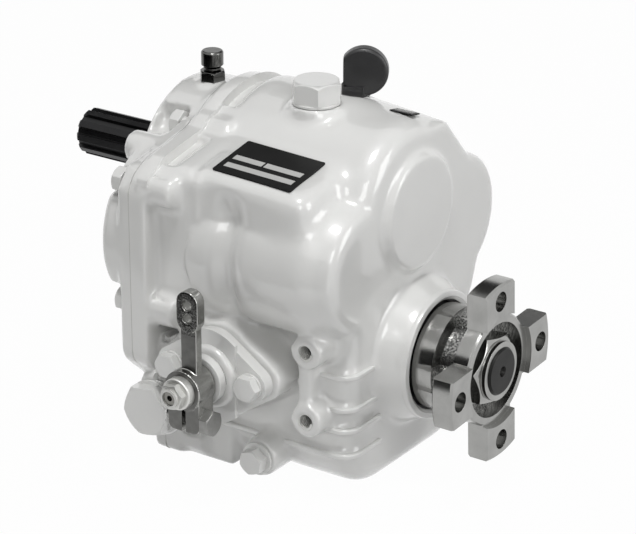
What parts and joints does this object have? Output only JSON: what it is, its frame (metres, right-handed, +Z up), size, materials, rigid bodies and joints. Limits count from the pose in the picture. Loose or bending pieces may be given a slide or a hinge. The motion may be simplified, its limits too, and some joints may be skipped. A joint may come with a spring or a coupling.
{
  "type": "marine gearbox",
  "caption": "Small reversing marine gearbox with splined input shaft, offset output coupling, shift lever, cone clutch and gear train inside a painted two-part case.",
  "frame": {"origin": "input shaft axis at the face that bolts to the engine", "axes": "+X from the engine to the output coupling, along both shafts; -Y towards the shift lever; +Z up"},
  "size_m": [0.279, 0.2229, 0.2268],
  "materials": {
    "case_paint": "satin silver-white engine paint over cast aluminium",
    "bare_steel": "turned and ground steel with a thin oil film",
    "dark_steel": "blackened hobbed steel",
    "zinc_steel": "bright zinc plate",
    "gear_steel": "case-hardened ground steel",
    "bearing_steel": "ground bearing steel",
    "bronze": "machined bronze",
    "seal_rubber": "moulded nitrile rubber",
    "gasket_paper": "fibre gasket",
    "black_plastic": "moulded black plastic",
    "label_black": "printed foil label"
  },
  "bodies": {
    "case": {"main_case": "case_paint", "front_cover": "case_paint", "case_gasket": "gasket_paper", "case_bolts": "case_paint", "dowel_pins": "bare_steel", "input_cup_front": "bearing_steel", "input_cup_rear": "bearing_steel", "output_cup_front": "bearing_steel", "output_cup_rear": "bearing_steel", "input_seal": "seal_rubber", "output_seal": "seal_rubber", "idler_pin": "bare_steel", "idler_washer": "bronze", "shift_cover": "case_paint", "shift_cover_gasket": "gasket_paper", "shift_cover_washers": "case_paint", "shift_cover_bolts": "case_paint", "selector_sleeve": "case_paint", "side_plug": "case_paint", "side_plug_washer": "case_paint", "drain_plug": "case_paint", "drain_washer": "case_paint", "filler_plug": "case_paint", "filler_washer": "case_paint", "breather_body": "zinc_steel", "breather_cap": "zinc_steel", "data_plate": "label_black", "small_plate": "label_black", "dipstick_collar": "case_paint"},
    "input": {"input_shaft": "dark_steel", "input_cone_front": "bearing_steel", "input_cone_rear": "bearing_steel"},
    "output": {"output_shaft": "bare_steel", "output_cone_front": "bearing_steel", "output_cone_rear": "bearing_steel", "thrust_washers": "bronze", "output_flange": "bare_steel", "output_nut": "bare_steel"},
    "forward": {"forward_gear": "gear_steel", "forward_bush": "bronze"},
    "reverse": {"reverse_gear": "gear_steel", "reverse_bush": "bronze"},
    "idler": {"idler_gear": "gear_steel", "idler_bush": "bronze"},
    "cone": {"shift_cone": "gear_steel"},
    "selector": {"selector_shaft": "bare_steel", "shift_lever": "bare_steel", "lever_clamp_bolt": "bare_steel", "lever_end_washer": "zinc_steel", "lever_end_nut": "zinc_steel"},
    "dipstick": {"dipstick_grip": "black_plastic", "dipstick_blade": "bare_steel"}
  },
  "joints": [
    {"name": "input_spin", "type": "hinge", "parent": "case", "child": "input", "pos_m": [0, 0, 0], "axis": [1, 0, 0], "continuous": true},
    {"name": "output_spin", "type": "hinge", "parent": "case", "child": "output", "pos_m": [0.205, 0, -0.0795], "axis": [1, 0, 0], "continuous": true},
    {"name": "forward_spin", "type": "hinge", "parent": "case", "child": "forward", "pos_m": [0.0445, 0, -0.0795], "axis": [1, 0, 0], "continuous": true},
    {"name": "reverse_spin", "type": "hinge", "parent": "case", "child": "reverse", "pos_m": [0.1145, 0, -0.0795], "axis": [1, 0, 0], "continuous": true},
    {"name": "idler_spin", "type": "hinge", "parent": "case", "child": "idler", "pos_m": [0.1145, 0.04537, -0.01978], "axis": [1, 0, 0], "continuous": true},
    {"name": "lever_swing", "type": "hinge", "parent": "case", "child": "selector", "pos_m": [0.0795, -0.091, -0.0795], "axis": [0, -1, 0], "range_deg": [-30, 30]},
    {"name": "cone_shift", "type": "slide", "parent": "output", "child": "cone", "axis": [1, 0, 0], "range_m": [-0.0015, 0.0015]},
    {"name": "dipstick_pull", "type": "slide", "parent": "case", "child": "dipstick", "axis": [0, -0.2384, 0.9712], "range_m": [0, 0.14]}
  ],
  "couplings": [
    {"joint": "forward_spin", "follows": "input_spin", "ratio": -0.51429},
    {"joint": "idler_spin", "follows": "input_spin", "ratio": -0.83333},
    {"joint": "reverse_spin", "follows": "input_spin", "ratio": 0.46875},
    {"joint": "lever_swing", "follows": "cone_shift", "rad_per_m": 349.07}
  ]
}
